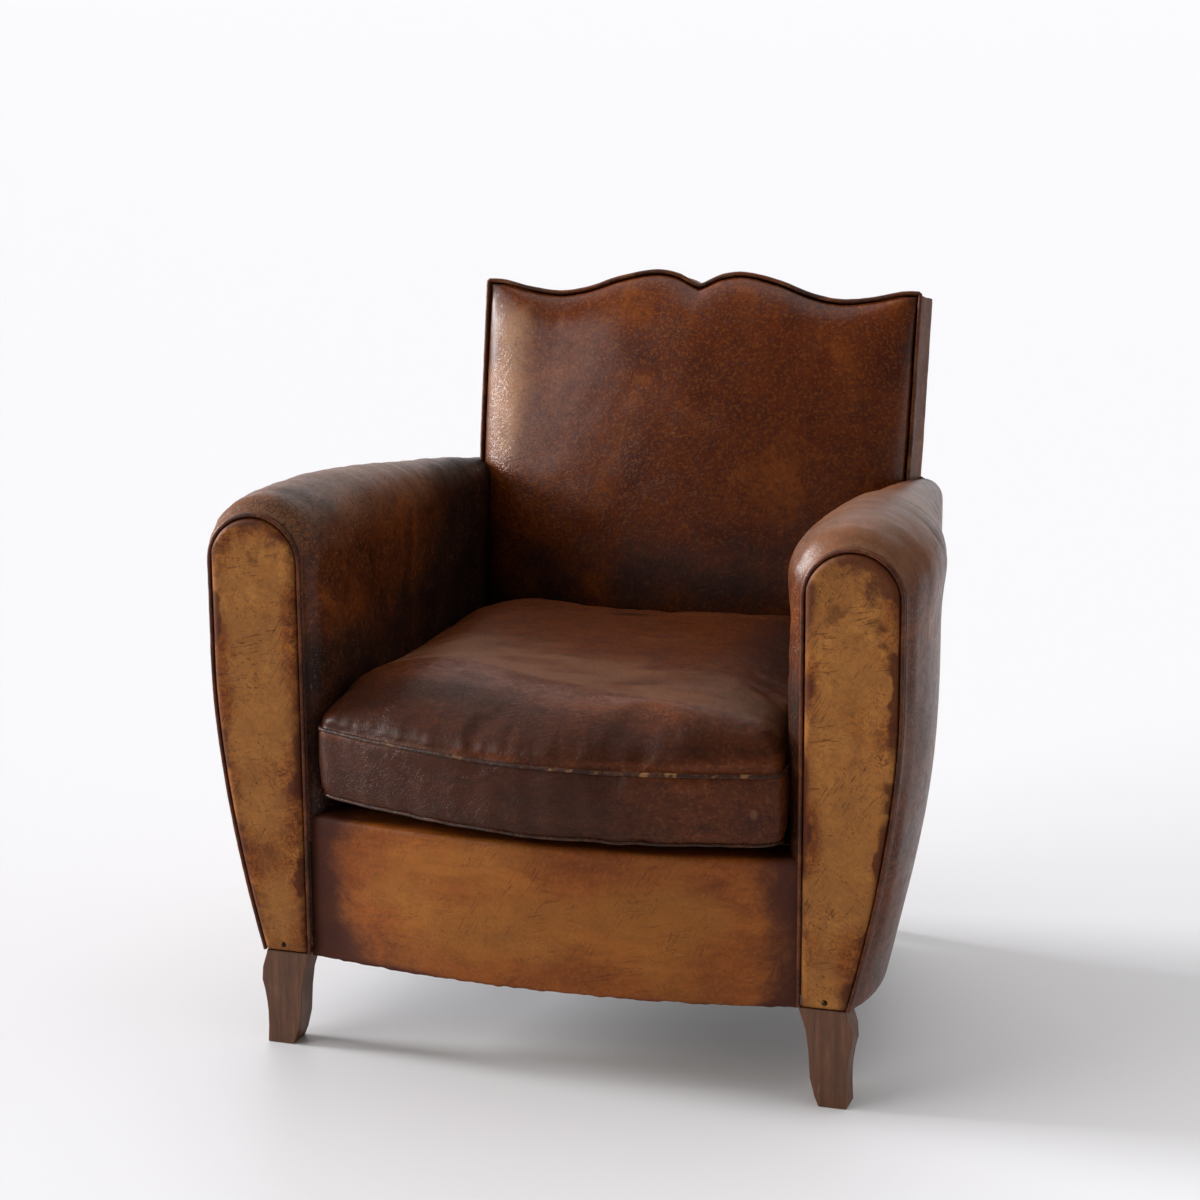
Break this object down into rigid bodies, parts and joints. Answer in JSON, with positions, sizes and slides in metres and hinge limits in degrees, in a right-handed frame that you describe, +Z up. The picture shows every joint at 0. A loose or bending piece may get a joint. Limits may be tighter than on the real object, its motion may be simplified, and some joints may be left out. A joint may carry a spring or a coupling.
{
  "type": "worn club chair",
  "caption": "Low leather armchair with a raked scalloped back, rolled arms with flat facings, a bow-fronted loose seat cushion and short wooden legs; cracked, rubbed and stained.",
  "frame": {"origin": "on the floor, under the middle of the bounding box", "axes": "+Z up, the chair faces -Y, +X is the left of a person sitting in it"},
  "size_m": [0.7832, 0.725, 0.8012],
  "materials": {
    "walnut_wood": "dark stained, satin, rubbed",
    "frame_wood": "bare sawn beech",
    "jute_webbing": "woven jute",
    "spring_steel": "dull wire",
    "burlap": "coarse hessian",
    "horsehair": "curled hair",
    "arm_leather": "dark brown, waxed, cracked and scuffed",
    "facing_leather": "tan, rubbed, stained",
    "piping_leather": "dark brown, cracked",
    "nail_brass": "dulled upholstery nail",
    "back_leather": "reddish brown, glossy, crazed",
    "apron_leather": "chestnut, scratched, dirty at the ends",
    "dust_cloth": "black cambric",
    "cushion_leather": "dark brown, wrinkled, rubbed grey across the middle"
  },
  "bodies": {
    "root": {"front_leg_right": "walnut_wood", "front_leg_left": "walnut_wood", "rear_leg_right": "walnut_wood", "rear_leg_left": "walnut_wood", "front_post_right": "frame_wood", "front_post_left": "frame_wood", "back_post_right": "frame_wood", "back_post_left": "frame_wood", "side_rail_right": "frame_wood", "side_rail_left": "frame_wood", "arm_rail_right": "frame_wood", "arm_rail_left": "frame_wood", "front_rail": "frame_wood", "rear_rail": "frame_wood", "back_rail": "frame_wood", "top_rail": "frame_wood", "front_corner_block_right": "frame_wood", "front_corner_block_left": "frame_wood", "rear_corner_block_right": "frame_wood", "rear_corner_block_left": "frame_wood", "facing_board_right": "frame_wood", "facing_board_left": "frame_wood", "webbing_lengthwise_1": "jute_webbing", "webbing_lengthwise_2": "jute_webbing", "webbing_lengthwise_3": "jute_webbing", "webbing_crosswise_1": "jute_webbing", "webbing_crosswise_2": "jute_webbing", "webbing_crosswise_3": "jute_webbing", "seat_spring_1_1": "spring_steel", "seat_spring_1_2": "spring_steel", "seat_spring_1_3": "spring_steel", "seat_spring_2_1": "spring_steel", "seat_spring_2_2": "spring_steel", "seat_spring_2_3": "spring_steel", "seat_spring_3_1": "spring_steel", "seat_spring_3_2": "spring_steel", "seat_spring_3_3": "spring_steel", "seat_deck": "burlap", "apron_edge_roll": "horsehair", "arm_stuffing_right": "horsehair", "arm_stuffing_left": "horsehair", "back_stuffing": "horsehair", "arm_cover_right": "arm_leather", "arm_cover_left": "arm_leather", "facing_cover_right": "facing_leather", "facing_cover_left": "facing_leather", "facing_piping_right": "piping_leather", "facing_piping_left": "piping_leather", "back_piping": "piping_leather", "cushion_welt_bottom": "piping_leather", "cushion_welt_top": "piping_leather", "facing_nail_right": "nail_brass", "facing_nail_left": "nail_brass", "inside_back_cover": "back_leather", "back_band": "back_leather", "outside_back_cover": "back_leather", "apron_cover": "apron_leather", "dust_cover": "dust_cloth", "seat_cushion": "cushion_leather"}
  },
  "joints": []
}
